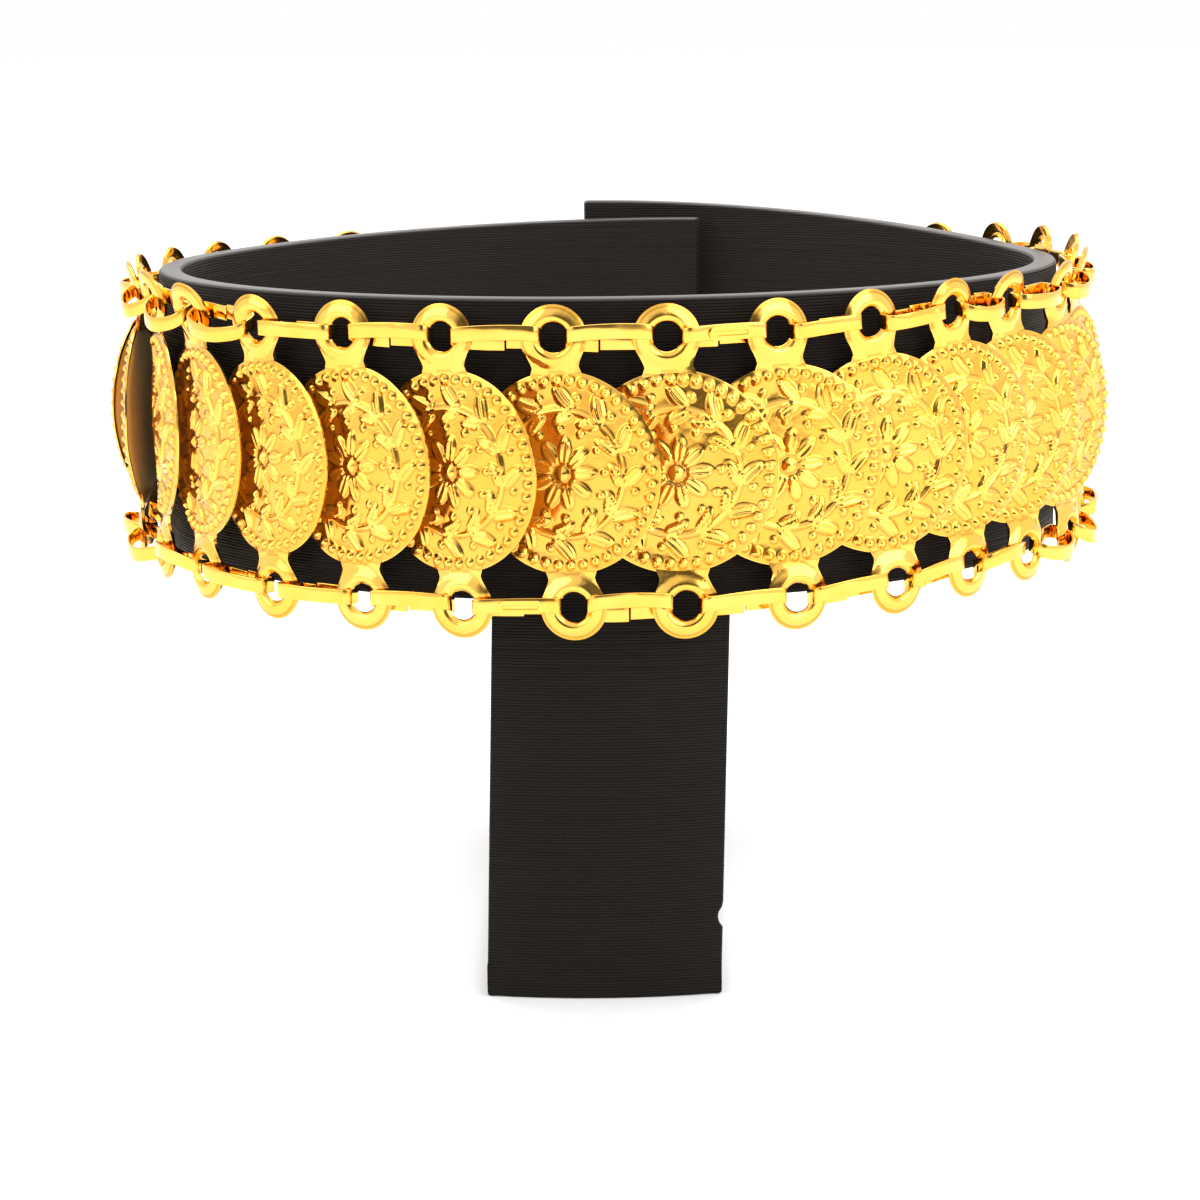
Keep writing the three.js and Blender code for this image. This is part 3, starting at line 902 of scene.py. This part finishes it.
def add_front_lap(loop, drop):
    """The strip's ends overlap on the outer leg: a hollowed tongue lies over it."""
    tongue = bmesh.new()
    bmesh.ops.create_cube(tongue, size=1)
    bmesh.ops.scale(tongue, verts=tongue.verts, vec=(LAP_LENGTH, LAP_THICKNESS, LAP_HEIGHT))
    bmesh.ops.bevel(
        tongue, geom=edges_along(tongue, 1, NEAR), offset=LAP_HEIGHT * LAP_CORNER, affect="EDGES",
        segments=5, profile=0.5, material=-1)
    front = min(tongue.faces, key=lambda face: face.calc_center_median().y)
    bmesh.ops.inset_individual(tongue, faces=[front], thickness=LAP_RIM, depth=0)
    bmesh.ops.inset_individual(tongue, faces=[front], thickness=LAP_HOLLOW_SLOPE, depth=-LAP_HOLLOW)
    out = LINK_DEPTH / 2 + LINK_BOW + LAP_GAP
    bmesh.ops.translate(tongue, verts=tongue.verts, vec=(LAP_SHIFT, -out, drop / 2))
    append(loop, tongue)
    bmesh.ops.recalc_face_normals(loop, faces=loop.faces)


def link_place(first, second, side):
    """Where a link lies between two coins: side is 1 for the upper eyes and -1 for the lower ones."""
    before, after = coin_frame(first), coin_frame(second)
    start = before.centre + before.up * side * EYE_DISTANCE + before.across * WEB_RADIUS
    end = after.centre + after.up * side * EYE_DISTANCE - after.across * WEB_RADIUS
    along = (end - start).normalized()
    outward = before.out + after.out
    outward = (outward - along * outward.dot(along)).normalized()
    upward = outward.cross(along)
    outward = outward * math.cos(LINK_TILT) + upward * math.sin(LINK_TILT)
    upward = outward.cross(along)
    length = (end - start).length + 2 * (WEB_HALF + LINK_PLAY + STRIP)
    return placed((start + end) / 2, along, -outward, upward), length


# Stand

def band_radius(angle, inner_end, outer_end):
    shrink = INNER_END_SHRINK * (1 - smooth_step(angle, inner_end, inner_end + LAP_BEGINS))
    growth = OUTER_END_GROWTH * smooth_step(angle, outer_end - LAP_BEGINS, outer_end)
    return BAND_RADIUS - shrink + growth


def block(width, depth, height):
    """A block from x = 0, between y = -depth and 0, standing on z = 0."""
    made = bmesh.new()
    bmesh.ops.create_cube(made, size=1)
    bmesh.ops.translate(made, verts=made.verts, vec=(0.5, -0.5, 0.5))
    bmesh.ops.scale(made, verts=made.verts, vec=(width, depth, height))
    return made


def round_edges(made, offset, chosen=None):
    bmesh.ops.bevel(
        made, geom=chosen or made.edges[:], offset=offset, affect="EDGES", segments=3, profile=0.5,
        material=-1)


def bent(point, angle, radius):
    return Vector((radius * math.sin(angle), BAND_CENTRE_Y - radius * math.cos(angle), point.z))


def stand_band():
    """A straight block bent round, from its inner end behind to its outer end lapped over it."""
    inner_end = -math.pi - math.asin(INNER_END_X / (BAND_RADIUS - INNER_END_SHRINK))
    outer_end = math.pi - math.asin(OUTER_END_X / (BAND_RADIUS + OUTER_END_GROWTH))
    band = block((outer_end - inner_end) * BAND_RADIUS, BAND_WALL, BAND_TOP - BAND_BOTTOM)
    round_edges(band, STAND_EDGE)
    lengthwise = edges_along(band, 0, BAND_RADIUS)
    bmesh.ops.subdivide_edges(band, edges=lengthwise, cuts=BAND_CUTS, use_grid_fill=True)
    for vert in band.verts:
        angle = inner_end + vert.co.x / BAND_RADIUS
        if vert.co.z > BAND_WALL:
            vert.co.z += OUTER_END_LIFT * smooth_step(angle, outer_end - LIFT_BEGINS, outer_end)
            vert.co.z += INNER_END_LIFT * (1 - smooth_step(angle, inner_end, inner_end + LIFT_BEGINS))
        vert.co = bent(vert.co, angle, band_radius(angle, inner_end, outer_end) + vert.co.y)
        vert.co.z += BAND_BOTTOM
    return band


def stand_leg():
    """Curved across like the band that it carries, leaning, with a small nick in its right edge."""
    height = BAND_BOTTOM + LEG_SEAT
    leg = block(LEG_WIDTH, BAND_WALL - 2 * LEG_TUCK, height)
    round_edges(leg, STAND_EDGE)
    for axis, cuts in ((0, LEG_CUTS_ACROSS), (2, LEG_CUTS_UP)):
        lengthwise = edges_along(leg, axis, LEG_WIDTH / 2)
        bmesh.ops.subdivide_edges(leg, edges=lengthwise, cuts=cuts, use_grid_fill=True)
    for vert in leg.verts:
        across = vert.co.x - LEG_WIDTH / 2
        nick = max(0.0, 1 - ((vert.co.z - NICK_HEIGHT) / NICK_SPAN) ** 2)
        across -= NICK_DEPTH * nick * smooth_step(across, LEG_WIDTH / 2 - NICK_REACH, LEG_WIDTH / 2)
        below = max(BAND_BOTTOM - vert.co.z, 0)
        place = bent(vert.co, across / BAND_RADIUS, BAND_RADIUS - LEG_TUCK + vert.co.y)
        place.x -= below * math.tan(LEG_LEAN)
        vert.co = place
    return leg


def stand_foot():
    front_y = BAND_CENTRE_Y - BAND_RADIUS + BAND_WALL / 2
    painted_foot_shade = block(FOOT_WIDTH, FOOT_BACK_Y - front_y, FOOT_THICKNESS)
    back = [edge for edge in edges_along(painted_foot_shade, 2, NEAR) if edge.verts[0].co.y > -NEAR]
    round_edges(painted_foot_shade, FOOT_CORNER, back)
    level = [edge for edge in painted_foot_shade.edges if abs(edge_run(edge).z) < NEAR]
    round_edges(painted_foot_shade, STAND_EDGE, level)
    centre_x = -(BAND_BOTTOM - FOOT_THICKNESS / 2) * math.tan(LEG_LEAN)
    bmesh.ops.translate(painted_foot_shade, verts=painted_foot_shade.verts, vec=(centre_x - FOOT_WIDTH / 2, FOOT_BACK_Y, 0))
    return painted_foot_shade


# Making and naming the pieces

def piece_from(made, name, place, material, nodes):
    """Turns a bmesh in millimetres into a piece of the part, in its place in metres."""
    made.transform(Matrix.Scale(MM, 4) @ place)
    mesh = bpy.data.meshes.new(name)
    made.to_mesh(mesh)
    made.free()
    mesh.shade_smooth()
    mesh.set_sharp_from_angle(angle=SHARP_ANGLE)
    mesh.materials.append(material)
    piece = bpy.data.objects.new(name, mesh)
    bpy.context.scene.collection.objects.link(piece)
    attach(piece, "root")
    if nodes:
        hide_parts(*nodes)


def make_coins(material):
    pattern = stamped_coin()
    for number in range(1, COIN_COUNT + 1):
        coin = pattern.copy()
        spot = coin_frame(number)
        warped(coin, number, spot.strain)
        place = placed(spot.centre, spot.right, spot.up, spot.out)
        name = f"coin_{number:02d}"
        piece_from(coin, f"{name}_stamped", place, material, [name])
    pattern.free()


def make_links(material):
    chance = random.Random(LINK_SEED)
    for row, side in (("top", 1), ("bottom", -1)):
        for number in range(1, COIN_COUNT):
            place, length = link_place(number, number + 1, side)
            drop = LINK_DROPS[row].get(number, chance.uniform(-USUAL_DROP, USUAL_DROP))
            strain = (coin_frame(number).strain + coin_frame(number + 1).strain) / 2
            mouth_x = chance.uniform(-JOINT_SHIFT, JOINT_SHIFT)
            strip = bent_strip(length, chance, drop, mouth_x=mouth_x, strain=strain)
            if (row, number) in LAPPED_IN_FRONT:
                add_front_lap(strip, drop)
            name = f"{row}_link_{number:02d}"
            nodes = [name] if FIRST_LOOSE_LINK <= number <= LAST_LOOSE_LINK else []
            piece_from(strip, f"{name}_strip", place, material, nodes)
        place, length = link_place(COIN_COUNT, 1, side)
        hook = bent_strip(length, chance, 0, mouth_x=length * HOOK_MOUTH_SHARE, mouth=HOOK_MOUTH)
        piece_from(hook, f"{row}_hook_strip", place, material, [f"{row}_hook"])


def make_stand(material):
    stand = stand_band()
    append(stand, stand_leg())
    append(stand, stand_foot())
    piece_from(stand, "stand_printed", Matrix(), material, ["display_stand"])


# Stage, lights and camera

def make_floor(material):
    ground = bmesh.new()
    bmesh.ops.create_grid(ground, x_segments=8, y_segments=8, size=FLOOR_HALF)
    mesh = bpy.data.meshes.new("floor")
    ground.to_mesh(mesh)
    ground.free()
    mesh.materials.append(material)
    floor = bpy.data.objects.new("floor", mesh)
    bpy.context.scene.collection.objects.link(floor)


def add_light(spec):
    """A soft rectangle of even brightness, turned towards the belt."""
    data = bpy.data.lights.new(spec.name, "AREA")
    data.shape = "RECTANGLE"
    data.size = spec.width
    data.size_y = spec.height
    data.energy = spec.brightness * math.pi * spec.width * spec.height
    light = bpy.data.objects.new(spec.name, data)
    light.location = spec.place
    aim = Vector(LIGHT_AIM) - Vector(spec.place)
    light.rotation_euler = aim.to_track_quat("-Z", "Y").to_euler()
    bpy.context.scene.collection.objects.link(light)


def make_world():
    """White behind the object, and a dim room on the camera's own side for the gold to mirror."""
    world = bpy.data.worlds.new("studio")
    world.use_nodes = True
    bpy.context.scene.world = world
    studio = Graph(world.node_tree)
    direction = studio.node("ShaderNodeTexCoord", output="Generated")
    facing = studio.node(
        "ShaderNodeVectorMath", {"operation": "DOT_PRODUCT"}, {0: direction, 1: DIM_SIDE}, output="Value")
    soft = studio.range(facing, SOFT_FROM, SOFT_FULL, 1.0, SOFT_LEVEL)
    dim = studio.range(facing, DIM_FROM, DIM_FULL, 1.0, DIM_LEVEL)
    seen = studio.node("ShaderNodeLightPath", output="Is Camera Ray")
    level = soft * dim * ROOM_LEVEL
    background = world.node_tree.nodes["Background"]
    studio.feed(background.inputs["Color"], WHITE)
    studio.feed(background.inputs["Strength"], seen + (1 - seen) * level)


def make_camera():
    data = bpy.data.cameras.new("camera")
    data.sensor_width = SENSOR
    data.lens = CAMERA_FOCUS_PIXELS / FRAME_PIXELS * SENSOR
    data.clip_start = NEAREST_SEEN
    data.clip_end = FARTHEST_SEEN
    forward = Vector((
        math.sin(CAMERA_YAW) * math.cos(CAMERA_PITCH),
        math.cos(CAMERA_YAW) * math.cos(CAMERA_PITCH),
        -math.sin(CAMERA_PITCH)))
    level = Vector((math.cos(CAMERA_YAW), -math.sin(CAMERA_YAW), 0))
    upright = level.cross(forward)
    right = level * math.cos(CAMERA_ROLL) + upright * math.sin(CAMERA_ROLL)
    up = right.cross(forward)
    camera = bpy.data.objects.new("camera", data)
    camera.matrix_world = placed(Vector((0, CAMERA_Y, CAMERA_Z)) * MM, right, up, -forward)
    bpy.context.scene.collection.objects.link(camera)
    bpy.context.scene.camera = camera


make_camera()
make_coins(coin_gold())
make_links(link_gold())
make_stand(printed_plastic())
make_floor(floor_white())
for light_spec in LIGHTS:
    add_light(light_spec)
make_world()
bpy.context.scene.view_settings.view_transform = "Standard"
